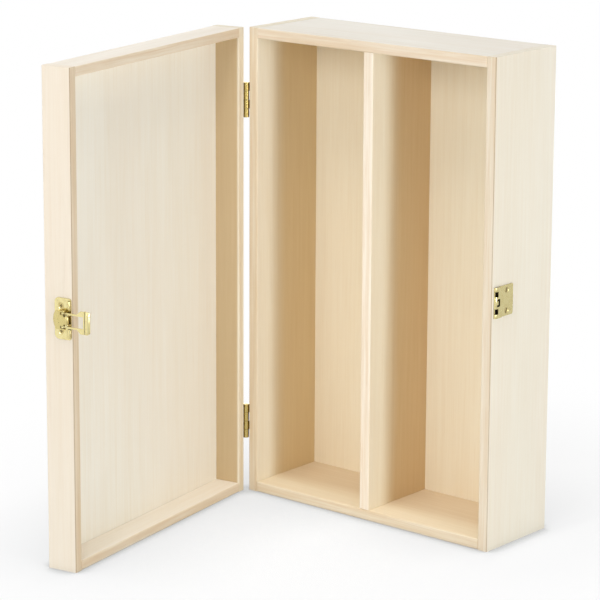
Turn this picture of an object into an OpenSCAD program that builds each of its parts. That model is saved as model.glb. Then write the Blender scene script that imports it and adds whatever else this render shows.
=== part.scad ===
// Upright wooden gift box for two bottles: a case with a divider, and a shallow
// lid that hangs on the left edge of the case like the cover of a book.
// Millimetres. The origin is the centre of the case's bottom face. +X runs to the
// right, +Y to the back and +Z up. The lid is drawn shut and then swung open.

/* [Case] */
// Height of the case and the lid
box_h = 350; // [300:1:420]
// Width of the case and the lid
box_w = 220; // [180:1:280]
// Depth of the case, from its rim to its back
case_d = 71; // [50:1:110]
// Thickness of the left and right boards
side_t = 8; // [7:0.5:12]
// Thickness of the top and bottom boards
end_t = 7.8; // [6:0.2:12]
// Thickness of the divider
divider_t = 8.5; // [5:0.5:14]
// Distance of the divider from the middle of the case, to the right
divider_shift = 0; // [-20:1:20]
// Thickness of the back panel
back_t = 3.2; // [2.4:0.2:5]
// How far the back panel is let into the boards round it
back_let_in = 4; // [2:0.5:5]
// Bevel on the edges that a hand meets
ease = 0.6; // [0.3:0.1:1.2]

/* [Lid] */
// Depth of the lid, from its rim to its outside
lid_d = 23; // [18:1:40]
// Thickness of the rails that carry the hinges and the latch
rail_t = 7; // [6.5:0.5:10]
// Thickness of the top and bottom rails
end_rail_t = 7; // [6:0.5:10]
// Thickness of the lid's panel
panel_t = 3; // [2:0.2:4]
// How far the lid's panel is let into the rails
panel_let_in = 3.5; // [2:0.5:5]
// Gap between the two rims when the lid is shut
rim_gap = 0.6; // [0.4:0.1:1.2]
// Angle to which the lid stands open
lid_open = 80.6; // [0:0.2:180]

/* [Hinges] */
// Height of each hinge
hinge_h = 26; // [20:1:40]
// Distance from an end of the box to the middle of its hinge
hinge_from_end = 53.5; // [30:0.5:100]
// Number of knuckles in each hinge
hinge_knuckles = 4; // [3:1:6]
// Outer radius of the knuckles
knuckle_r = 2.2; // [1.8:0.1:3]
// Thickness of the leaves
leaf_t = 0.8; // [0.6:0.1:1]
// Distance from the pin's axis to a leaf's far edge
leaf_w = 10; // [8:0.5:14]
// Radius of the hinge pins
hinge_pin_r = 0.9; // [0.7:0.1:1.1]
// Distance from a leaf's far edge to its screws
leaf_screw_in = 3.4; // [2.4:0.1:3.6]
// Distance from the ends of a leaf to its screws
leaf_screw_end = 5; // [3:0.5:7]
// Length of the hinge screws
hinge_screw_len = 5.6; // [4:0.2:6]
// Radius of the hinge screws' heads
hinge_head_r = 1.7; // [1.4:0.1:2]
// Radius of the hinge screws' shanks
hinge_shank_r = 0.8; // [0.6:0.1:1]

/* [Latch on the lid] */
// Height of the latch above the middle of the box
latch_shift = 4; // [-60:1:60]
// Thickness of the sheet that the latch and its strike are pressed from
sheet_t = 0.8; // [0.6:0.1:1]
// Distance from the lid's rim to the base plate
latch_edge = 0.9; // [0.5:0.1:1.5]
// Height of the base plate
latch_plate_h = 28.8; // [26:0.2:36]
// Width of the base plate
latch_plate_w = 13.4; // [12.6:0.2:16]
// Radius of the base plate's corners next to the rim
plate_corner_r = 2; // [1:0.1:3]
// Radius of the base plate's corners away from the rim
plate_far_corner_r = 3.4; // [2:0.1:5]
// Radius of the bead rolled along the base plate's edge next to the rim
bead_r = 1.1; // [0.9:0.1:1.2]
// Distance between the base plate's two screws
latch_screw_span = 17.6; // [17:0.2:20]
// Distance from the base plate's far edge to its screws
latch_screw_in = 5.4; // [4:0.1:6]
// Length of the screws in the latch and the strike
latch_screw_len = 6; // [4:0.2:6.4]
// Radius of those screws' heads
latch_head_r = 2; // [1.6:0.1:2.2]
// Radius of those screws' shanks
latch_shank_r = 1; // [0.8:0.1:1.2]
// Depth of the screws' heads below the face of the leaf or plate that they hold
head_sink = 0.2; // [0.1:0.05:0.3]
// Radius of the ears that carry the lever
ear_r = 1.3; // [1.1:0.1:1.4]
// Radius of the lever's pin
lever_pin_r = 0.7; // [0.5:0.1:0.8]
// Height of the lever's pin above the base plate
lever_pin_up = 3.3; // [3.1:0.1:4]
// Outer radius of the lever's knuckle
lever_knuckle_r = 1.5; // [1.3:0.1:1.7]
// Height of the lever's knuckle along its pin
lever_knuckle_h = 5.4; // [4:0.2:6]
// Distance from the lever's pin to its free end
lever_l = 11; // [10:0.1:13]
// Radius of the lever's round free end
lever_tip_r = 9.5; // [8:0.5:20]
// Radius of the crown of the lever
crown_r = 42; // [36:1:120]
// Distance of the loop's pin behind the lever's pin
loop_pin_back = 2.8; // [2.7:0.1:3.4]
// Distance of the loop's pin below the lever's pin
loop_pin_drop = 0.1; // [0.05:0.05:0.4]
// Radius of the loop's pin
loop_pin_r = 0.6; // [0.4:0.1:0.7]
// Width of the loop's arms
arm_w = 1.2; // [0.9:0.1:1.6]
// Height of the loop's wide end
loop_head_h = 15.8; // [14:0.2:18]
// Outer radius of the arched bar at the loop's end
bar_r = 2.4; // [2.2:0.1:2.8]

/* [Strike on the case] */
// Distance from the case's rim to the strike
strike_edge = 2.4; // [1.6:0.1:4]
// Width of the strike
strike_w = 21.6; // [19:0.2:26]
// Height of the strike
strike_h = 21.8; // [20:0.2:28]
// Width of the raised step that the loop catches behind
step_w = 7.2; // [6.8:0.1:8]
// Height of the step above the strike's plate
step_up = 1.05; // [0.9:0.05:1.2]
// Distance between the strike's two screws
strike_screw_span = 14.6; // [13:0.2:15.6]
// Distance from the strike's far edge to its screws
strike_screw_in = 7.6; // [5:0.1:8]

/* [Fits] */
// Play of a panel in the pocket that it is let into
panel_fit = 0.2; // [0:0.05:0.4]
// Radial play of a pin that turns
running_fit = 0.06; // [0.03:0.01:0.1]
// Radial play of a pin or screw that is fixed
fixed_fit = 0.02; // [0.01:0.01:0.04]
// Gap between pieces that turn past each other on one pin
side_play = 0.3; // [0.2:0.05:0.4]
// Gap between the loop's bar and the step, when shut
catch_gap = 1.2; // [0.6:0.1:2]

/* [Hidden] */

wood = [0.93, 0.87, 0.76];
ply = [0.91, 0.84, 0.72];
brass = [0.83, 0.69, 0.38];
screw_brass = [0.78, 0.68, 0.42];
through = 1;

front_y = -case_d / 2;
back_y = case_d / 2;
lid_rim_y = front_y - rim_gap;
hinge_clear = 0.3;
hinge_out = knuckle_r + hinge_clear;
hinge_x = -box_w / 2 - hinge_out;
hinge_y = front_y - rim_gap / 2;
upper_hinge_z = box_h - hinge_from_end;
lower_hinge_z = hinge_from_end;
knuckle_h = hinge_h / hinge_knuckles;
knuckle_play = 0.2;
leaf_relief = knuckle_r;
leaf_overlap = 0.5;

latch_z = box_h / 2 + latch_shift;
cross = [0, 90];
drive_w = 0.7;
drive_depth = 0.5;
screw_tip = 1.4;
screw_point_r = 0.2;
bore_spare = 0.2;

// Places in the latch are given as [distance in from the lid's rim, height above
// the rail's face], and its pieces are stacked along the pins from the middle out.
ear_edge = 0.1;
bead_lift = 0.2;
lever_pin_at = [latch_edge + ear_r + ear_edge, sheet_t + lever_pin_up];
loop_pin_at = lever_pin_at + [loop_pin_back, -loop_pin_drop];
lever_end = lever_pin_at[0] + lever_l;
roof_top = lever_pin_at[1] + lever_knuckle_r - 0.1;
hood_start = lever_pin_at[0] + 1.2;
neck_start = lever_pin_at[0] + ear_r + side_play;
thumb_start = loop_pin_at[0] + 1.7;
thumb_corner_r = 2.6;
lug_r = 1.3;
ear_in = lever_knuckle_h / 2 + side_play;
ear_out = ear_in + sheet_t;
eye_in = ear_out + side_play;
eye_out = eye_in + arm_w;
cheek_in = eye_out + side_play;
cheek_out = cheek_in + sheet_t;

// Places on the strike are [distance behind the case's rim, height above the side].
step_top = sheet_t + step_up;
step_back = strike_edge + step_w;
bar_lift = 0.35;
bar_lip = 0.6;
bar_at = [-rim_gap - step_back - catch_gap - bar_r, step_top + bar_lift];
bar_in = bar_at[0] + bar_r;
shoulder_start = bar_in + 5.2;
shoulder_end = bar_in + 2.2;

// The section of a board: outer face at x = 0, inner face at x = t, rim at y = 0.
module board_section(t, d) {
    polygon([[0, ease], [ease, 0], [t - ease, 0], [t, ease], [t, d], [ease, d], [0, d - ease]]);
}

// A rectangle with round corners, from its lowest corner.
module round_rect(w, h, r) {
    translate([r, 0]) square([w - 2 * r, h]);
    translate([0, r]) square([w, h - 2 * r]);
    for (x = [r, w - r], y = [r, h - r]) {
        translate([x, y]) circle(r = r, $fn = 48);
    }
}

// The case's left board without its holes.
module side_board() {
    difference() {
        translate([-box_w / 2, front_y, 0]) linear_extrude(box_h) board_section(side_t, case_d);
        back_pocket();
    }
}

// The case's bottom board, between the side boards.
module end_board() {
    difference() {
        translate([0, front_y, 0]) rotate([0, -90, 0])
            linear_extrude(box_w - 2 * side_t, center = true) board_section(end_t, case_d);
        back_pocket();
    }
}

// The rebate that the back panel lies in.
module back_pocket() {
    half_w = box_w / 2 - side_t + back_let_in;
    low = end_t - back_let_in;
    translate([-half_w, back_y - back_t, low]) cube([2 * half_w, back_t + through, box_h - 2 * low]);
}

// The lid's hinge rail without its holes, with the lid shut.
module long_rail() {
    difference() {
        translate([-box_w / 2, lid_rim_y, 0]) mirror([0, 1, 0])
            linear_extrude(box_h) board_section(rail_t, lid_d);
        lid_pocket();
    }
}

// The lid's bottom rail, between the long rails, with the lid shut.
module short_rail() {
    difference() {
        translate([0, lid_rim_y, 0]) mirror([0, 1, 0]) rotate([0, -90, 0])
            linear_extrude(box_w - 2 * rail_t, center = true) board_section(end_rail_t, lid_d);
        lid_pocket();
    }
}

// The rebate that the lid's panel lies in.
module lid_pocket() {
    half_w = box_w / 2 - rail_t + panel_let_in;
    low = end_rail_t - panel_let_in;
    translate([-half_w, lid_rim_y - lid_d - through, low])
        cube([2 * half_w, panel_t + through, box_h - 2 * low]);
}

// Swings what is drawn with the lid shut to where the lid stands.
module in_lid() {
    translate([hinge_x, hinge_y, 0]) rotate([0, 0, -lid_open]) translate([-hinge_x, -hinge_y, 0]) children();
}

// A countersunk screw that lies head_sink deep in a plate whose outer face is at
// z = 0. Its recess has one slot for each angle in turns, drive_l long.
module screw(head_r, shank_r, plate_t, len, turns, drive_l) {
    difference() {
        union() {
            translate([0, 0, -plate_t]) cylinder(h = plate_t - head_sink, r1 = shank_r, r2 = head_r, $fn = 48);
            translate([0, 0, screw_tip - len]) cylinder(h = len - screw_tip - plate_t, r = shank_r, $fn = 48);
            translate([0, 0, -len]) cylinder(h = screw_tip, r1 = screw_point_r, r2 = shank_r, $fn = 48);
        }
        for (turn = turns) {
            rotate([0, 0, turn]) translate([-drive_l / 2, -drive_w / 2, -head_sink - drive_depth])
                cube([drive_l, drive_w, drive_depth + through]);
        }
    }
}

// The countersunk hole for a screw in a plate whose outer face is at z = 0. Its cone
// goes on to the face with the slope of the screw's head.
module screw_seat(head_r, shank_r, plate_t) {
    mouth_r = shank_r + (head_r - shank_r) * plate_t / (plate_t - head_sink);
    translate([0, 0, -plate_t])
        cylinder(h = plate_t, r1 = shank_r + fixed_fit, r2 = mouth_r + fixed_fit, $fn = 48);
    translate([0, 0, -plate_t - through]) cylinder(h = through + plate_t / 2, r = shank_r + fixed_fit, $fn = 48);
    cylinder(h = through, r = mouth_r + fixed_fit, $fn = 48);
}

// The drilled hole in the wood for a screw whose head's top is at z = 0.
module screw_bore(shank_r, len) {
    translate([0, 0, -len - bore_spare]) cylinder(h = len + bore_spare, r = shank_r + fixed_fit, $fn = 48);
}

// Puts a copy of its children at each screw of the hinges' case leaves.
module at_leaf_screws(heights) {
    for (z = heights, up = [-1, 1]) {
        translate([
            hinge_x + hinge_out - leaf_t, hinge_y + leaf_w - leaf_screw_in, z + up * (hinge_h / 2 - leaf_screw_end)
        ]) rotate([0, -90, 0]) children();
    }
}

// Flips what is drawn on the case's side of the shut rims to the lid's side.
module to_lid_side() {
    translate([0, hinge_y, 0]) mirror([0, 1, 0]) translate([0, -hinge_y, 0]) children();
}

// One leaf at a hinge's height, with the knuckles that start at number first.
module case_leaf(z, first, pin_fit) {
    difference() {
        translate([hinge_x, hinge_y, z - hinge_h / 2]) union() {
            translate([hinge_out - leaf_t, leaf_relief, 0]) cube([leaf_t, leaf_w - leaf_relief, hinge_h]);
            for (k = [first : 2 : hinge_knuckles - 1]) {
                translate([0, 0, k * knuckle_h + knuckle_play / 2])
                    linear_extrude(knuckle_h - knuckle_play) knuckle_section();
            }
        }
        translate([hinge_x, hinge_y, z])
            cylinder(h = hinge_h + 2 * through, r = hinge_pin_r + pin_fit, center = true, $fn = 48);
        at_leaf_screws([z]) screw_seat(hinge_head_r, hinge_shank_r, leaf_t);
    }
}

// The section of a knuckle and of the strip that joins it to its leaf.
module knuckle_section() {
    circle(r = knuckle_r, $fn = 64);
    translate([hinge_out - leaf_t, rim_gap / 2]) square([leaf_t, leaf_relief + leaf_overlap - rim_gap / 2]);
}

module hinge_pin(z) {
    translate([hinge_x, hinge_y, z]) cylinder(h = hinge_h, r = hinge_pin_r, center = true, $fn = 48);
}

// The latch's own frame: x in from the rim, y out from the rail, z along the pins.
module in_latch() {
    in_lid() translate([box_w / 2, lid_rim_y, latch_z]) rotate([0, 0, -90]) children();
}

// The strike's own frame: -x behind the rim, y out from the side, z up.
module in_strike() {
    translate([box_w / 2, front_y, latch_z]) rotate([0, 0, -90]) children();
}

// Turns a flat outline into a sheet that lies on the face, out to the height t.
module sheet(t) {
    translate([0, t, 0]) rotate([90, 0, 0]) linear_extrude(t) children();
}

// Extrudes a side view along the pins from height low to height high, on both
// sides of the middle.
module both_sides(low, high) {
    for (flip = [0, 1]) {
        mirror([0, 0, flip]) translate([0, 0, low]) linear_extrude(high - low) children();
    }
}

module pin_bore(at, r) {
    translate([at[0], at[1], 0]) cylinder(h = 2 * loop_head_h, r = r, center = true, $fn = 48);
}

module at_latch_screws() {
    for (up = [-1, 1]) {
        translate([latch_edge + latch_plate_w - latch_screw_in, sheet_t, up * latch_screw_span / 2])
            rotate([-90, 0, 0]) children();
    }
}

module at_strike_screws() {
    for (up = [-1, 1]) {
        translate([-strike_edge - strike_w + strike_screw_in, sheet_t, up * strike_screw_span / 2])
            rotate([-90, 0, 0]) children();
    }
}

module left_side() {
    color(wood) difference() {
        side_board();
        at_leaf_screws([lower_hinge_z, upper_hinge_z]) screw_bore(hinge_shank_r, hinge_screw_len);
    }
}

module right_side() {
    color(wood) difference() {
        mirror([1, 0, 0]) side_board();
        in_strike() at_strike_screws() screw_bore(latch_shank_r, latch_screw_len);
    }
}

module bottom_board() {
    color(wood) end_board();
}

module top_board() {
    color(wood) translate([0, 0, box_h]) mirror([0, 0, 1]) end_board();
}

module back_panel() {
    half_w = box_w / 2 - side_t + back_let_in - panel_fit;
    low = end_t - back_let_in + panel_fit;
    color(ply) translate([-half_w, back_y - back_t, low]) cube([2 * half_w, back_t, box_h - 2 * low]);
}

module divider() {
    depth = case_d - back_t;
    color(wood) translate([divider_shift - divider_t / 2, front_y, end_t]) linear_extrude(box_h - 2 * end_t)
        polygon([
            [0, ease], [ease, 0], [divider_t - ease, 0], [divider_t, ease], [divider_t, depth], [0, depth]
        ]);
}

module lid_hinge_rail() {
    color(wood) in_lid() difference() {
        long_rail();
        to_lid_side() at_leaf_screws([lower_hinge_z, upper_hinge_z]) screw_bore(hinge_shank_r, hinge_screw_len);
    }
}

module lid_latch_rail() {
    color(wood) difference() {
        in_lid() mirror([1, 0, 0]) long_rail();
        in_latch() at_latch_screws() screw_bore(latch_shank_r, latch_screw_len);
    }
}

module lid_bottom_rail() {
    color(wood) in_lid() short_rail();
}

module lid_top_rail() {
    color(wood) in_lid() translate([0, 0, box_h]) mirror([0, 0, 1]) short_rail();
}

module lid_panel() {
    half_w = box_w / 2 - rail_t + panel_let_in - panel_fit;
    low = end_rail_t - panel_let_in + panel_fit;
    color(ply) in_lid() translate([-half_w, lid_rim_y - lid_d, low])
        cube([2 * half_w, panel_t, box_h - 2 * low]);
}

module upper_hinge_case_leaf() {
    color(brass) case_leaf(upper_hinge_z, 1, fixed_fit);
}

module lower_hinge_case_leaf() {
    color(brass) case_leaf(lower_hinge_z, 1, fixed_fit);
}

module upper_hinge_lid_leaf() {
    color(brass) in_lid() to_lid_side() case_leaf(upper_hinge_z, 0, running_fit);
}

module lower_hinge_lid_leaf() {
    color(brass) in_lid() to_lid_side() case_leaf(lower_hinge_z, 0, running_fit);
}

module upper_hinge_pin() {
    color(brass) hinge_pin(upper_hinge_z);
}

module lower_hinge_pin() {
    color(brass) hinge_pin(lower_hinge_z);
}

module case_hinge_screws() {
    color(screw_brass) at_leaf_screws([lower_hinge_z, upper_hinge_z])
        screw(hinge_head_r, hinge_shank_r, leaf_t, hinge_screw_len, cross, hinge_head_r * 1.2);
}

module lid_hinge_screws() {
    color(screw_brass) in_lid() to_lid_side() at_leaf_screws([lower_hinge_z, upper_hinge_z])
        screw(hinge_head_r, hinge_shank_r, leaf_t, hinge_screw_len, cross, hinge_head_r * 1.2);
}

module latch_base() {
    color(brass) in_latch() difference() {
        union() {
            sheet(sheet_t) translate([latch_edge, -latch_plate_h / 2]) {
                round_rect(latch_plate_w, latch_plate_h, plate_far_corner_r);
                round_rect(latch_plate_w / 2, latch_plate_h, plate_corner_r);
            }
            both_sides(cheek_out + side_play, latch_plate_h / 2 - plate_corner_r)
                translate([latch_edge + bead_r, bead_r + bead_lift]) circle(r = bead_r, $fn = 48);
            both_sides(ear_in, ear_out) {
                translate([lever_pin_at[0] - ear_r, 0]) square([2 * ear_r, lever_pin_at[1]]);
                translate(lever_pin_at) circle(r = ear_r, $fn = 48);
            }
        }
        pin_bore(lever_pin_at, lever_pin_r + fixed_fit);
        at_latch_screws() screw_seat(latch_head_r, latch_shank_r, sheet_t);
    }
}

module latch_screws() {
    color(screw_brass) in_latch() at_latch_screws()
        screw(latch_head_r, latch_shank_r, sheet_t, latch_screw_len, cross, latch_head_r * 1.2);
}

module lever_pin() {
    color(brass) in_latch() translate([lever_pin_at[0], lever_pin_at[1], 0])
        cylinder(h = 2 * ear_out, r = lever_pin_r, center = true, $fn = 48);
}

// The disc whose edge the lever's crown follows, in side view.
module crown(r) {
    translate([lever_pin_at[0], roof_top - crown_r]) circle(r = r, $fn = 180);
}

// The side view of the lever's crowned roof.
module lever_roof() {
    intersection() {
        difference() {
            crown(crown_r);
            crown(crown_r - sheet_t);
        }
        translate([lever_pin_at[0], 0]) square([lever_l + through, roof_top + through]);
    }
}

// The side view of the cheeks that are folded down from the roof to the loop's pin.
module lever_cheek() {
    low = loop_pin_at[1] - lug_r;
    cheek_end = lever_end - 3.4;
    intersection() {
        crown(crown_r - sheet_t / 2);
        polygon([
            [hood_start, roof_top], [hood_start, low + 0.9], [loop_pin_at[0] - lug_r, low],
            [loop_pin_at[0] + lug_r, low], [cheek_end, low + 1.3], [cheek_end, roof_top]
        ]);
    }
}

// The lever's outline from the front: a tongue and a neck in the middle, a strip
// over each cheek, and the thumb plate. The loop's arms swing between them.
module lever_outline() {
    translate([lever_pin_at[0], -lever_knuckle_h / 2]) square([lever_l / 2, lever_knuckle_h]);
    translate([neck_start, -ear_out]) square([lever_l / 2, 2 * ear_out]);
    for (flip = [0, 1]) {
        mirror([0, flip]) translate([hood_start, cheek_in]) square([lever_l / 2, sheet_t]);
    }
    intersection() {
        translate([lever_end - lever_tip_r, 0]) circle(r = lever_tip_r, $fn = 120);
        translate([thumb_start, -cheek_out]) square([lever_l, 2 * cheek_out]);
        translate([0, -cheek_out]) round_rect(lever_end, 2 * cheek_out, thumb_corner_r);
    }
}

module latch_lever() {
    color(brass) in_latch() difference() {
        union() {
            intersection() {
                translate([0, 0, -2 * cheek_out]) linear_extrude(4 * cheek_out) lever_roof();
                sheet(roof_top + through) lever_outline();
            }
            translate([0, 0, -lever_knuckle_h / 2]) linear_extrude(lever_knuckle_h)
                translate(lever_pin_at) circle(r = lever_knuckle_r, $fn = 48);
            both_sides(cheek_in, cheek_out) lever_cheek();
        }
        pin_bore(lever_pin_at, lever_pin_r + running_fit);
        pin_bore(loop_pin_at, loop_pin_r + fixed_fit);
    }
}

// A rivet through the lever's cheeks and both of the loop's eyes.
module loop_pin() {
    head_r = 0.95;
    head_h = 0.25;
    head_at = cheek_out + 0.05;
    color(brass) in_latch() translate([loop_pin_at[0], loop_pin_at[1], 0]) {
        cylinder(h = 2 * (head_at + head_h / 2), r = loop_pin_r, center = true, $fn = 48);
        for (up = [-1, 1]) {
            translate([0, 0, up * (head_at + head_h / 2)])
                cylinder(h = head_h, r = head_r, center = true, $fn = 48);
        }
    }
}

// The loop's side view: a flat arm that ends in the arched bar.
module loop_side() {
    overlap = 1;
    translate([bar_in - overlap, loop_pin_at[1] - sheet_t / 2])
        square([loop_pin_at[0] - bar_in + overlap, sheet_t]);
    difference() {
        translate(bar_at) circle(r = bar_r, $fn = 64);
        translate(bar_at) circle(r = bar_r - sheet_t, $fn = 64);
        translate([bar_at[0] - 2 * bar_r, bar_at[1] - 2 * bar_r]) square([4 * bar_r, 2 * bar_r]);
        translate([bar_at[0] - 2 * bar_r, bar_at[1] - through]) square([2 * bar_r, bar_lip + through]);
    }
}

// The loop from the front: narrow arms, sloping shoulders and a wide round end.
module loop_outline() {
    corner_r = 2;
    end = bar_at[0] - bar_r;
    half_h = loop_head_h / 2;
    translate([end, -half_h]) round_rect(shoulder_end - end, loop_head_h, corner_r);
    polygon([
        [end + corner_r, -half_h], [shoulder_end, -half_h], [shoulder_start, -eye_out],
        [loop_pin_at[0], -eye_out], [loop_pin_at[0], eye_out],
        [shoulder_start, eye_out], [shoulder_end, half_h], [end + corner_r, half_h]
    ]);
}

module latch_loop() {
    color(brass) in_latch() difference() {
        union() {
            intersection() {
                translate([0, 0, -loop_head_h]) linear_extrude(2 * loop_head_h) loop_side();
                sheet(bar_at[1] + bar_r + through) loop_outline();
            }
            both_sides(eye_in, eye_out) translate(loop_pin_at) circle(r = lug_r, $fn = 48);
        }
        translate([bar_in, 0, -eye_in]) cube([2 * loop_head_h, 3 * bar_r, 2 * eye_in]);
        pin_bore(loop_pin_at, loop_pin_r + running_fit);
    }
}

// The strike's side view: a round front, a raised step and the flat plate.
module strike_side() {
    nose_x = -strike_edge - step_top;
    difference() {
        union() {
            translate([-strike_edge - strike_w, 0]) square([strike_w - step_w / 2, sheet_t]);
            translate([-step_back, 0]) square([step_w - step_top, step_top]);
            translate([nose_x, 0]) circle(r = step_top, $fn = 64);
        }
        translate([nose_x, 0]) circle(r = step_up, $fn = 64);
        translate([-step_back + sheet_t, -through]) square([step_w - step_top - sheet_t, step_up + through]);
        translate([-strike_edge - strike_w, -2 * step_top]) square([strike_w, 2 * step_top]);
    }
}

// The openings in the step: one near each end, open to the front, and one round a tongue.
module strike_windows() {
    floor_y = 0.5;
    slot_low = 4.2;
    slot_high = 8;
    slot_to = 3.1;
    middle_from = 1.6;
    middle_to = 5;
    middle_h = 5.4;
    tongue_h = 2.8;
    tongue_to = 3.2;
    for (flip = [0, 1]) {
        mirror([0, 0, flip]) translate([-strike_edge - slot_to, floor_y, slot_low])
            cube([slot_to + through, step_top, slot_high - slot_low]);
    }
    difference() {
        translate([-strike_edge - middle_to, floor_y, -middle_h / 2])
            cube([middle_to - middle_from, step_top, middle_h]);
        translate([-strike_edge - tongue_to, 0, -tongue_h / 2]) cube([tongue_to, 2 * step_top, tongue_h]);
    }
}

module strike_plate() {
    corner_r = 1.2;
    color(brass) in_strike() difference() {
        intersection() {
            translate([0, 0, -strike_h / 2]) linear_extrude(strike_h) strike_side();
            sheet(step_top + through) translate([-strike_edge - strike_w, -strike_h / 2])
                round_rect(strike_w + through, strike_h, corner_r);
        }
        strike_windows();
        at_strike_screws() screw_seat(latch_head_r, latch_shank_r, sheet_t);
    }
}

module strike_screws() {
    slot = [70];
    color(screw_brass) in_strike() at_strike_screws()
        screw(latch_head_r, latch_shank_r, sheet_t, latch_screw_len, slot, 2 * latch_head_r + through);
}

left_side();
right_side();
top_board();
bottom_board();
back_panel();
divider();
lid_hinge_rail();
lid_latch_rail();
lid_top_rail();
lid_bottom_rail();
lid_panel();
upper_hinge_case_leaf();
upper_hinge_lid_leaf();
upper_hinge_pin();
lower_hinge_case_leaf();
lower_hinge_lid_leaf();
lower_hinge_pin();
case_hinge_screws();
lid_hinge_screws();
latch_base();
latch_screws();
lever_pin();
latch_lever();
loop_pin();
latch_loop();
strike_plate();
strike_screws();
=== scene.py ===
"""Looks, light and camera for the wooden wine box. Everything is in metres, in the CAD's frame."""

import math

import bpy
from mathutils import Euler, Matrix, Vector


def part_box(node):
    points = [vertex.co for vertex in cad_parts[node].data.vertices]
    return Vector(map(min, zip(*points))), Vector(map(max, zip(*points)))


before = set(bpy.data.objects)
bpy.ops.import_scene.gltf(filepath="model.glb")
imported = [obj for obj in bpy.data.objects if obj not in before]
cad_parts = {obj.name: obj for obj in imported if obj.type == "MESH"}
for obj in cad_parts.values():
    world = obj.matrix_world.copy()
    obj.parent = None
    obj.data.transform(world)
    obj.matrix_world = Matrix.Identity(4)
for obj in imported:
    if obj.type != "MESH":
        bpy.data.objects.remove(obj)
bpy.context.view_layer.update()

MM = 0.001
WHITE = (1, 1, 1, 1)

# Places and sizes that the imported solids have. CASE is the case's lowest and highest corner,
# and LID_BACK is where the outer face of the lid lies along Y when it is shut.
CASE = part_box("left_side")[0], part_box("right_side")[1]
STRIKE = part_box("strike_plate")
HINGE_AXIS = Vector((-0.1125, -0.0358, 0.0))
LID_OPEN = math.radians(80.6)
LID_DEPTH = 0.023
RIM_GAP = 0.0006
LID_BACK = CASE[0].y - RIM_GAP - LID_DEPTH
BACK_PANEL_T = 3.2 * MM
LID_PANEL_T = 3 * MM


# ---------------------------------------------------------------- camera

# The photograph's view, from about 2 m away. The shift puts the box where the picture has it.
CAMERA_AT = (1.19117, -1.54500, 0.63736)
CAMERA_DOWN = 12.6
CAMERA_AROUND = 40.95

camera = bpy.data.objects.new("camera", bpy.data.cameras.new("camera"))
bpy.context.scene.collection.objects.link(camera)
bpy.context.scene.camera = camera
camera.location = CAMERA_AT
camera.rotation_euler = Euler((math.radians(90 - CAMERA_DOWN), 0, math.radians(CAMERA_AROUND)))
camera.data.sensor_width = 36
camera.data.lens = 166.4
camera.data.shift_x = 0.1
camera.data.shift_y = -0.1
camera.data.clip_end = 50


# ---------------------------------------------------------------- node helpers

def srgb(r, g, b):
    """A colour from 0 to 255 as the linear numbers that the shaders take."""
    def linear(c):
        return c / 255 / 12.92 if c <= 10 else ((c / 255 + 0.055) / 1.055) ** 2.4

    return linear(r), linear(g), linear(b), 1


def shade(colour, by):
    """A colour times a factor for each channel."""
    return tuple(c * k for c, k in zip(colour, by))


class Graph:
    """A material's or world's nodes, written in the order that they are worked out."""

    def __init__(self, tree):
        self.tree = tree
        tree.nodes.clear()

    def node(self, kind, inputs=None, **settings):
        made = self.tree.nodes.new("ShaderNode" + kind)
        for key, value in settings.items():
            setattr(made, key, value)
        for key, value in (inputs or {}).items():
            self.feed(made.inputs[key], value)
        return made

    def feed(self, socket, value):
        if isinstance(value, bpy.types.NodeSocket):
            self.tree.links.new(value, socket)
        else:
            socket.default_value = value

    def feed_all(self, made, values):
        for socket, value in zip(made.inputs, values):
            self.feed(socket, value)

    def math(self, operation, *values, clamp=False):
        made = self.node("Math", operation=operation, use_clamp=clamp)
        self.feed_all(made, values)
        return made.outputs[0]

    def vector(self, operation, *values):
        made = self.node("VectorMath", operation=operation)
        self.feed_all(made, values)
        return made.outputs

    def ramp(self, value, low, high, to_low=0.0, to_high=1.0, smooth=True):
        made = self.node(
            "MapRange",
            {
                "Value": value, "From Min": low, "From Max": high,
                "To Min": to_low, "To Max": to_high,
            },
            interpolation_type="SMOOTHSTEP" if smooth else "LINEAR",
        )
        return made.outputs[0]

    def mix(self, factor, a, b, blend="MIX"):
        made = self.node("Mix", data_type="RGBA", blend_type=blend)
        self.feed(made.inputs[0], factor)
        self.feed(made.inputs[6], a)
        self.feed(made.inputs[7], b)
        return made.outputs[2]

    def noise(self, vector, scale, detail=2.0, roughness=0.5, distortion=0.0):
        made = self.node(
            "TexNoise",
            {
                "Vector": vector, "Scale": scale, "Detail": detail,
                "Roughness": roughness, "Distortion": distortion,
            },
        )
        return made.outputs[0]

    def object_place(self):
        return self.node("TexCoord").outputs["Object"]

    def place(self, vector, scale=(1, 1, 1), offset=(0, 0, 0), turn=(0, 0, 0)):
        made = self.node(
            "Mapping", {"Vector": vector, "Location": offset, "Rotation": turn, "Scale": scale},
        )
        return made.outputs[0]

    def split(self, vector):
        made = self.node("SeparateXYZ")
        self.feed(made.inputs[0], vector)
        return made.outputs[:3]

    def openness(self, distance, samples):
        """1 where nothing stands within the distance, and less in a corner."""
        made = self.node("AmbientOcclusion", samples=samples)
        made.inputs["Distance"].default_value = distance
        return made.outputs["AO"]

    def output(self, shader, kind="OutputMaterial"):
        self.feed(self.node(kind).inputs[0], shader.outputs[0])


def new_material(name):
    made = bpy.data.materials.new(name)
    made.use_nodes = True
    return made, Graph(made.node_tree)


# ---------------------------------------------------------------- wood

# How much darker the grain's deep tone is than the pale one, per channel, on faces and on
# rims, then the blush that some patches have, the painted shade along the rim's outer corners,
# the painted shade on the wood under the strike's openings, and the middle ply of a panel.
GRAIN = (0.965, 0.945, 0.915)
RIM_GRAIN = (0.945, 0.9, 0.84)
BLUSH = (255, 250, 247)
PAINTED_EDGE_SHADE = (165, 142, 118)
SLOT_PAINTED_SHADE = (34, 24, 14)
PLY_CORE = (196, 160, 116)

BLUSH_MOST = 0.5
PAINTED_EDGE_SHADE_MOST = 0.7
PLY_CORE_MOST = 0.55

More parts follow.
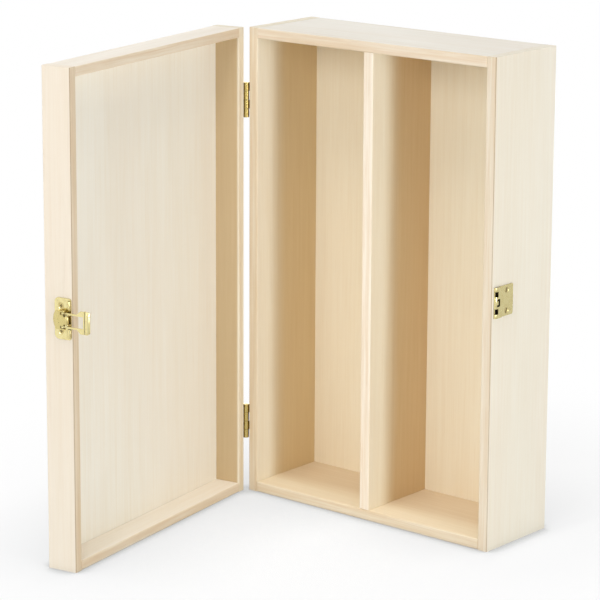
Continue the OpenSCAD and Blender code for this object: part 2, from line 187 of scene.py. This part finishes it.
# Each pattern's noise scale across the grain, per metre, and what the coordinate along the
# grain is multiplied by, which draws the pattern out that way.
BROAD = (17, 0.12)
WARM = (11, 0.2)
GROWTH = (9, 0.16)
STREAK = (420, 0.03)
FIBRE = (1900, 0.016)
PORE = (1500, 0.035)
GROWTH_LINES = 15.0

# What the patterns weigh in the tone, which runs from 0, pale, to 1, deep.
TONE_MIDDLE = 0.42
BROAD_WEIGHT = 0.5
FACE_STREAK_WEIGHT, RIM_STREAK_WEIGHT = 1.1, 2.6
FIBRE_WEIGHT = 0.5
PORE_WEIGHT = 0.22

WOOD_ROUGHNESS = 0.55, 0.7
WOOD_IOR = 1.42
WOOD_SPECULAR = 0.25
WOOD_BUMP_STRENGTH = 0.15
WOOD_BUMP_HEIGHT = 0.1 * MM

# Distances over which a look fades: from the rim's plane, from the rim's outer corner, and,
# for the painted light and shade inside, from an outer face inwards, from the lid's rim
# inwards, and from the case's rim into its depth.
RIM_NEAR, RIM_FAR = 0.3 * MM, 0.7 * MM
CORNER_NEAR, CORNER_FAR = 0.35 * MM, 0.75 * MM
SKIN_NEAR, SKIN_FAR = 1.5 * MM, 2.5 * MM
LID_RIM_NEAR, LID_RIM_FAR = 1 * MM, 3 * MM
DEPTH_NEAR, DEPTH_FAR = 12 * MM, 36 * MM


def shut_place(g, in_lid):
    """Object coordinates. The lid's are turned to where it is when it is shut."""
    place = g.object_place()
    if not in_lid:
        return place
    centred = g.vector("SUBTRACT", place, HINGE_AXIS)["Vector"]
    turned = g.place(centred, turn=(0, 0, LID_OPEN))
    return g.vector("ADD", turned, HINGE_AXIS)["Vector"]


def wood(
    name, face, rim, seed, inside_light_and_shade=None, grain="Z", in_lid=False, figure=0.06, ply=None,
    tarnish_and_painted_shade=None,
):
    """Bare sanded wood: faint tone, growth lines, streaks, fibres and short pores.

    face and rim are the colours of the wide faces and of the sawn edge towards the rims,
    and the inside colour is what a face turns to inside the case or the lid, which is painted
    shade deep in the case and painted light on a panel's inner face. seed moves the grain along
    and figure is how strongly the growth lines show. ply is a panel's front face along Y and
    its thickness, and the last argument is a box in which dark shade is painted on the wood.
    """
    made, g = new_material(name)
    place = shut_place(g, in_lid)
    shift = (seed * 1.37, seed * 0.71, seed * 0.53)

    def grained(pattern, **settings):
        across, stretch = pattern
        scale = {"X": (stretch, 1, 1), "Z": (1, 1, stretch)}[grain]
        return g.noise(g.place(place, scale=scale, offset=shift), across, **settings)

    def around(value, weight):
        return g.math("MULTIPLY", g.math("SUBTRACT", value, 0.5), weight)

    broad = grained(BROAD, detail=3)
    warm = grained(WARM)
    growth = grained(GROWTH, detail=1.5, distortion=0.25)
    rings = g.math("FRACT", g.math("MULTIPLY", growth, GROWTH_LINES))
    lines = g.math("MULTIPLY", g.ramp(rings, 0.0, 0.8), g.ramp(rings, 0.8, 1.0, 1.0, 0.0))
    streak = grained(STREAK, detail=4, roughness=0.6)
    fibre = grained(FIBRE, detail=2, roughness=0.6)
    pores = g.ramp(grained(PORE, detail=1), 0.66, 0.75)

    parts = g.split(place)
    rim_y = CASE[0].y - (RIM_GAP if in_lid else 0)
    away = g.math("ABSOLUTE", g.math("SUBTRACT", parts[1], rim_y))
    at_rim = g.ramp(away, RIM_FAR, RIM_NEAR)
    from_side = g.math("SUBTRACT", CASE[1].x, g.math("ABSOLUTE", parts[0]))
    edge_line = g.math("MULTIPLY", at_rim, g.ramp(from_side, CORNER_FAR, CORNER_NEAR))

    streak_weight = g.ramp(at_rim, 0, 1, FACE_STREAK_WEIGHT, RIM_STREAK_WEIGHT)
    tone = g.math("ADD", TONE_MIDDLE, around(g.ramp(broad, 0.25, 0.75), BROAD_WEIGHT))
    tone = g.math("ADD", tone, g.math("MULTIPLY", lines, figure))
    tone = g.math("ADD", tone, around(streak, streak_weight))
    tone = g.math("ADD", tone, around(fibre, FIBRE_WEIGHT))
    tone = g.math("ADD", tone, g.math("MULTIPLY", pores, PORE_WEIGHT), clamp=True)

    wide, wide_grain = srgb(*face), srgb(*shade(face, GRAIN))
    # Painted light and shade: a face turns darker and warmer deep in the case and the lid, and a
    # panel's inner face paler.
    if inside_light_and_shade:
        depth = light_and_shade_depth(g, parts, in_lid)
        wide = g.mix(depth, wide, srgb(*inside_light_and_shade))
        wide_grain = g.mix(depth, wide_grain, srgb(*shade(inside_light_and_shade, GRAIN)))
    pale = g.mix(at_rim, wide, srgb(*rim))
    deep = g.mix(at_rim, wide_grain, srgb(*shade(rim, RIM_GRAIN)))
    colour = g.mix(tone, pale, deep)
    colour = g.mix(g.ramp(warm, 0.35, 0.7, 0.0, BLUSH_MOST), colour, srgb(*BLUSH), "MULTIPLY")
    # Painted shade: a darker line along the rim's outer corners.
    edge_shade = g.math("MULTIPLY", edge_line, PAINTED_EDGE_SHADE_MOST)
    colour = g.mix(edge_shade, colour, srgb(*PAINTED_EDGE_SHADE), "MULTIPLY")
    # Painted shade: the wood seen through the strike's openings turns a near-black brown.
    if tarnish_and_painted_shade:
        colour = g.mix(inside_box(g, parts, *tarnish_and_painted_shade), colour, srgb(*SLOT_PAINTED_SHADE))
    if ply:
        colour = ply_edges(g, colour, parts[1], *ply)

    height = g.math("ADD", g.math("MULTIPLY", fibre, 0.6), g.math("MULTIPLY", streak, 0.6))
    height = g.math("SUBTRACT", height, g.math("MULTIPLY", pores, 0.5))
    bump = g.node(
        "Bump",
        {"Height": height, "Strength": WOOD_BUMP_STRENGTH, "Distance": WOOD_BUMP_HEIGHT},
    )
    rough = g.ramp(streak, 0.3, 0.7, *WOOD_ROUGHNESS)
    shader = g.node(
        "BsdfPrincipled", {"Base Color": colour, "Roughness": rough, "Normal": bump.outputs[0]},
    )
    shader.inputs["IOR"].default_value = WOOD_IOR
    shader.inputs["Specular IOR Level"].default_value = WOOD_SPECULAR
    g.output(shader)
    return made


def light_and_shade_depth(g, parts, in_lid):
    """How far in the painted light and shade reach: from 0 near the rim and on the outside, to 1
    deep inside the case, or inside the lid.
    """
    x, y, z = parts
    mid_z = CASE[1].z / 2

    def within(value, half):
        return g.ramp(g.math("ABSOLUTE", value), half - SKIN_FAR, half - SKIN_NEAR, 1.0, 0.0)

    if in_lid:
        ramps = (
            g.ramp(y, LID_BACK + SKIN_NEAR, LID_BACK + SKIN_FAR),
            g.ramp(y, CASE[0].y - LID_RIM_FAR, CASE[0].y - LID_RIM_NEAR, 1.0, 0.0),
        )
    else:
        ramps = (
            g.ramp(y, CASE[1].y - SKIN_FAR, CASE[1].y - SKIN_NEAR, 1.0, 0.0),
            g.ramp(y, CASE[0].y + DEPTH_NEAR, CASE[0].y + DEPTH_FAR),
        )
    inside = g.math("MULTIPLY", within(x, CASE[1].x), within(g.math("SUBTRACT", z, mid_z), mid_z))
    for ramp in ramps:
        inside = g.math("MULTIPLY", inside, ramp)
    return inside


def inside_box(g, parts, low, high):
    """1 inside a box and 0 outside it."""
    inside = 1.0
    for part, a, b in zip(parts, low, high):
        middle, half = (a + b) / 2, (b - a) / 2
        off = g.math("ABSOLUTE", g.math("SUBTRACT", part, middle))
        inside = g.math("MULTIPLY", inside, g.math("LESS_THAN", off, half))
    return inside


def ply_edges(g, colour, y, front, thick):
    """Shows a panel's three plies on its edges."""
    share = g.ramp(y, front, front + thick, smooth=False)
    core = g.math("MULTIPLY", g.ramp(share, 0.3, 0.34), g.ramp(share, 0.66, 0.7, 1.0, 0.0))
    return g.mix(g.math("MULTIPLY", core, PLY_CORE_MOST), colour, srgb(*PLY_CORE))


# ---------------------------------------------------------------- brass

# What the tint is multiplied by where it is tarnished, the painted shade and dirt in creases,
# and how far each of them goes.
BRASS_TARNISH = (0.9, 0.86, 0.74)
BRASS_CREASE_SHADE_AND_DIRT = (62, 44, 16)
BRASS_TARNISH_MOST = 0.4
BRASS_CREASE_SHADE_AND_DIRT_MOST = 0.92

BRASS_ROUGHER = 0.1
SCRATCH_ROUGHER = 0.08
BRASS_BUMP_STRENGTH = 0.16
BRASS_BUMP_HEIGHT = 0.03 * MM


def brass(name, tint, roughness, crease_size, seed=0.0):
    """Bright pressed brass: rolled lines, fine scratches, faint tarnish and dark creases.

    crease_size is how far from a corner its painted shade and dirt reach.
    """
    made, g = new_material(name)
    place = g.place(g.object_place(), offset=(seed, seed * 0.6, seed * 0.3))
    patches = g.ramp(g.noise(place, 260, detail=3), 0.42, 0.68)
    rolled = g.noise(g.place(place, scale=(1, 1, 0.06)), 5200, detail=2)
    scratch_place = g.place(place, scale=(1, 1, 0.03), turn=(0.5, 0.3, 0.2))
    scratch = g.ramp(g.noise(scratch_place, 7000, detail=1), 0.62, 0.7)

    tarnish_and_painted_shade = g.math("MULTIPLY", patches, BRASS_TARNISH_MOST)
    colour = g.mix(tarnish_and_painted_shade, srgb(*tint), srgb(*shade(tint, BRASS_TARNISH)))
    # Painted shade: creases, hollows and the plate round raised parts turn dark brown, which also
    # stands for dirt there.
    crease_shade_and_dirt = g.ramp(g.openness(crease_size, samples=4), 0.4, 0.9, BRASS_CREASE_SHADE_AND_DIRT_MOST, 0.0)
    colour = g.mix(crease_shade_and_dirt, colour, srgb(*BRASS_CREASE_SHADE_AND_DIRT))

    rough = g.ramp(patches, 0, 1, roughness, roughness + BRASS_ROUGHER)
    rough = g.math("ADD", rough, g.math("MULTIPLY", scratch, SCRATCH_ROUGHER))
    height = g.math("ADD", g.math("MULTIPLY", rolled, 0.5), g.math("MULTIPLY", scratch, 0.5))
    bump = g.node(
        "Bump",
        {"Height": height, "Strength": BRASS_BUMP_STRENGTH, "Distance": BRASS_BUMP_HEIGHT},
    )
    shader = g.node(
        "BsdfPrincipled", {"Base Color": colour, "Roughness": rough, "Normal": bump.outputs[0]},
    )
    shader.inputs["Metallic"].default_value = 1.0
    g.output(shader)
    return made


# ---------------------------------------------------------------- finishes of the CAD nodes

# The patch of the right side that the strike's openings show, where dark shade is painted.
SHADE_UNDER_STRIKE = (
    (CASE[1].x - 0.2 * MM, STRIKE[1].y - 21 * MM, STRIKE[0].z + 1 * MM),
    (CASE[1].x + 0.2 * MM, STRIKE[1].y - 14.6 * MM, STRIKE[1].z - 1 * MM),
)

PANEL_TONE = (243, 236, 218)
LID_PANEL_TONE = (243, 237, 221)
# The painted shade that the right side and the top turn to deep inside the case.
SHADED_TONE = (240, 222, 190)

BOARD_EDGE, BRASS_EDGE = 0.35 * MM, 0.16 * MM
EDGE_SEGMENTS = 2
EDGE_ANGLE = math.radians(35)
WELD_DISTANCE = 0.001 * MM


def dress(material, *nodes):
    """Gives CAD nodes their material."""
    for node in nodes:
        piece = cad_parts[node]
        piece.data.materials.clear()
        piece.data.materials.append(material)


def soften(width, *nodes):
    """Rounds the sharp edges of CAD nodes a little."""
    for node in nodes:
        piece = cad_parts[node]
        weld = piece.modifiers.new("weld", "WELD")
        weld.merge_threshold = WELD_DISTANCE
        bevel = piece.modifiers.new("soft_edges", "BEVEL")
        bevel.width = width
        bevel.segments = EDGE_SEGMENTS
        bevel.limit_method = "ANGLE"
        bevel.angle_limit = EDGE_ANGLE
        bevel.harden_normals = True


dress(
    wood(
        "left_side_wood", (243, 235, 215), (237, 225, 203), seed=1.0, inside_light_and_shade=(233, 210, 167),
        figure=0.16,
    ),
    "left_side",
)
dress(
    wood(
        "right_side_wood", (246, 241, 226), (238, 229, 211), seed=2.0, inside_light_and_shade=SHADED_TONE,
        tarnish_and_painted_shade=SHADE_UNDER_STRIKE,
    ),
    "right_side",
)
dress(
    wood("top_wood", (248, 245, 236), (242, 230, 211), seed=3.0, inside_light_and_shade=SHADED_TONE, grain="X"),
    "top_board",
)
dress(
    wood(
        "bottom_wood", (242, 230, 205), (238, 226, 203), seed=4.0, inside_light_and_shade=(228, 210, 182),
        grain="X",
    ),
    "bottom_board",
)
dress(
    wood("divider_wood", (238, 229, 208), (250, 240, 224), seed=5.0, inside_light_and_shade=(227, 200, 158)),
    "divider",
)
# The back panel's inner face is painted paler than its outer one: painted light.
dress(
    wood(
        "back_wood", PANEL_TONE, PANEL_TONE, seed=6.0, inside_light_and_shade=(250, 241, 218),
        ply=(CASE[1].y - BACK_PANEL_T, BACK_PANEL_T),
    ),
    "back_panel",
)
# The rail's inner face is painted darker than its rim: painted shade.
dress(
    wood(
        "hinge_rail_wood", PANEL_TONE, (244, 236, 214), seed=7.0, inside_light_and_shade=(211, 189, 151),
        in_lid=True,
    ),
    "lid_hinge_rail",
)
dress(
    wood("latch_rail_wood", (250, 241, 225), (233, 220, 197), seed=8.0, in_lid=True),
    "lid_latch_rail",
)
dress(
    wood("end_rail_wood", (255, 250, 240), (242, 230, 209), seed=9.0, grain="X", in_lid=True),
    "lid_top_rail", "lid_bottom_rail",
)
# The lid panel's inner face is painted paler than its outer one: painted light.
dress(
    wood(
        "lid_panel_wood", LID_PANEL_TONE, LID_PANEL_TONE, seed=10.0, inside_light_and_shade=(252, 250, 240),
        in_lid=True, ply=(LID_BACK, LID_PANEL_T),
    ),
    "lid_panel",
)

dress(
    brass("plate_brass", (240, 227, 168), roughness=0.2, crease_size=2.0 * MM),
    "latch_base", "latch_loop", "lever_pin", "loop_pin", "strike_plate",
)
dress(
    brass("lever_brass", (222, 206, 142), roughness=0.22, crease_size=2.0 * MM, seed=0.5),
    "latch_lever",
)
dress(
    brass("hinge_brass", (206, 186, 116), roughness=0.26, crease_size=1.5 * MM, seed=0.3),
    "upper_hinge_case_leaf", "upper_hinge_lid_leaf", "upper_hinge_pin",
    "lower_hinge_case_leaf", "lower_hinge_lid_leaf", "lower_hinge_pin",
)
dress(
    brass("screw_brass", (224, 206, 146), roughness=0.26, crease_size=1.6 * MM, seed=0.7),
    "case_hinge_screws", "lid_hinge_screws", "latch_screws", "strike_screws",
)

soften(
    BOARD_EDGE,
    "left_side", "right_side", "top_board", "bottom_board", "divider",
    "lid_hinge_rail", "lid_latch_rail", "lid_top_rail", "lid_bottom_rail",
)
soften(BRASS_EDGE, "latch_base", "latch_lever", "latch_loop", "strike_plate")


# ---------------------------------------------------------------- floor and light

FLOOR_SIZE = 12
FLOOR_COLOUR = (0.93, 0.94, 0.955, 1)

# The floor's shade under and round the box: how far it reaches and its darkest colour, for the
# wide soft one and for the narrow one where the box touches the floor.
SOFT_REACH, SOFT_SHADE = 0.13, (0.84, 0.845, 0.85, 1)
NEAR_REACH, NEAR_SHADE = 0.014, (0.68, 0.68, 0.67, 1)

# Beside the right side, which the key lamp lights, the soft shade is weaker. The ramp is where
# that starts and ends along X, from that side.
LIT_FROM, LIT_TO = -10 * MM, 20 * MM
LIT_MOST = 0.85

# How far the floor gives way to the white behind it, near the box and away from it.
FADE_NEAR, FADE_FAR = 0.15, 0.4
FADE_LEAST = 0.85

# The way to the room's darker side, and how bright metal sees the room on either side.
ROOM_SIDE = (0.9, 0.3, 0.1)
ROOM_PALE, ROOM_DARK = 1.0, 0.7
AMBIENT = 0.32

BOX_MIDDLE = (0, 0, 0.17)


def make_floor():
    """A white floor that darkens softly round the box, and keeps a little of its shadows."""
    bpy.ops.mesh.primitive_plane_add(size=FLOOR_SIZE, location=(0, 0, 0))
    floor = bpy.context.object
    floor.name = "floor"
    made, g = new_material("floor")
    place = g.object_place()

    x = g.split(place)[0]
    lit_side = g.ramp(x, CASE[1].x + LIT_FROM, CASE[1].x + LIT_TO, 0.0, LIT_MOST)
    soft = g.ramp(g.openness(SOFT_REACH, samples=8), 0.5, 1.0, smooth=False)
    near = g.ramp(g.openness(NEAR_REACH, samples=8), 0.5, 0.9, smooth=False)
    shade_soft = g.mix(g.math("MAXIMUM", soft, lit_side), SOFT_SHADE, WHITE)
    shade_near = g.mix(near, NEAR_SHADE, WHITE)
    tint = g.mix(1.0, shade_soft, shade_near, "MULTIPLY")
    lit = g.node("BsdfDiffuse", {"Color": g.mix(1.0, tint, FLOOR_COLOUR, "MULTIPLY")})

    away = g.vector("LENGTH", place)["Value"]
    path = g.node("LightPath")
    seen = g.math("MAXIMUM", path.outputs["Is Camera Ray"], path.outputs["Is Glossy Ray"])
    fade = g.math("MULTIPLY", g.ramp(away, FADE_NEAR, FADE_FAR, FADE_LEAST, 1.0), seen)
    clear = g.node("BsdfTransparent", {"Color": tint})
    g.output(g.node("MixShader", {0: fade, 1: lit.outputs[0], 2: clear.outputs[0]}))
    floor.data.materials.append(made)


def make_world():
    """White to the camera, and a soft even light on everything else.

    Metal sees the white backdrop too, and the darker room on the other side of the studio.
    """
    world = bpy.data.worlds.new("studio")
    bpy.context.scene.world = world
    world.use_nodes = True
    g = Graph(world.node_tree)
    path = g.node("LightPath")
    clear = g.math(
        "MAXIMUM", path.outputs["Is Camera Ray"], path.outputs["Is Transmission Ray"],
    )
    direction = g.node("TexCoord").outputs["Generated"]
    to_room = g.vector("DOT_PRODUCT", direction, Vector(ROOM_SIDE).normalized())["Value"]
    seen = g.ramp(to_room, -0.3, 0.9, ROOM_PALE, ROOM_DARK)
    strength = g.ramp(path.outputs["Is Glossy Ray"], 0, 1, AMBIENT, seen, smooth=False)
    strength = g.ramp(clear, 0, 1, strength, 1.0, smooth=False)
    light = g.node("Background", {"Strength": strength})
    light.inputs["Color"].default_value = WHITE
    g.output(light, "OutputWorld")


def make_lamp(name, at, towards, size, power):
    """A rectangular studio lamp. size is its width and height, and power is in watts."""
    data = bpy.data.lights.new(name, "AREA")
    data.shape = "RECTANGLE"
    data.size, data.size_y = size
    data.energy = power
    lamp = bpy.data.objects.new(name, data)
    bpy.context.scene.collection.objects.link(lamp)
    lamp.location = at
    lamp.rotation_euler = (Vector(towards) - Vector(at)).to_track_quat("-Z", "Y").to_euler()


make_floor()
make_world()
make_lamp("key", at=(1.2, -0.27, 0.34), towards=(0, -0.02, 0.17), size=(0.14, 0.5), power=4.6)
make_lamp("front", at=(0.42, -2.55, 1.2), towards=BOX_MIDDLE, size=(0.8, 1.1), power=20.4)
make_lamp("top", at=(0.2, -0.9, 2.6), towards=BOX_MIDDLE, size=(1.6, 1.6), power=28)
make_lamp("rear", at=(-2.0, 2.0, 0.5), towards=BOX_MIDDLE, size=(1.4, 1.4), power=18)

bpy.context.scene.view_settings.view_transform = "Standard"
